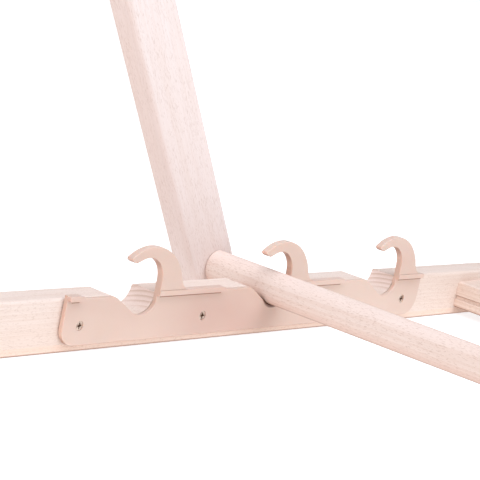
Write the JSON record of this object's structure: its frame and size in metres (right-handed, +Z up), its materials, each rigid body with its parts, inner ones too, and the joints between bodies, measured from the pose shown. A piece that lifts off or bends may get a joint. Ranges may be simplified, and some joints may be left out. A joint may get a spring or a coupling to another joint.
{
  "type": "folding deck chair recline frame",
  "caption": "Beech base frame of a folding deck chair with notched rails, plastic hook racks, and a prop frame whose round bar rests in a notch to set the recline.",
  "frame": {"origin": "middle of the base frame on the ground: halfway along and between the rails, at their underside", "axes": "+X along the rails to the back of the chair, +Y to the sitter's right, +Z up"},
  "size_m": [1.2, 0.605, 0.4271],
  "materials": {
    "beech": "satin",
    "bar_beech": "satin",
    "rack_plastic": "matte",
    "zinc": "satin"
  },
  "bodies": {
    "base_frame": {"right_rail": "beech", "left_rail": "beech", "rear_crossbar": "beech", "front_crossbar": "beech", "right_rack": "rack_plastic", "left_rack": "rack_plastic", "right_rack_screws": "zinc", "left_rack_screws": "zinc", "right_frame_screws": "zinc", "left_frame_screws": "zinc"},
    "prop_bar": {"prop_bar": "bar_beech", "right_bar_washer": "zinc", "left_bar_washer": "zinc", "right_bar_screw": "zinc", "left_bar_screw": "zinc"},
    "prop_arms": {"right_arm": "beech", "left_arm": "beech"}
  },
  "joints": [
    {"name": "bar_lift", "type": "slide", "parent": "base_frame", "child": "prop_bar", "axis": [-0.8669, 0, 0.4985], "range_m": [0, 0.06]},
    {"name": "arm_tilt", "type": "hinge", "parent": "prop_bar", "child": "prop_arms", "pos_m": [0.18, 0, 0.0427], "axis": [0, 1, 0], "range_deg": [-56, 123]}
  ]
}
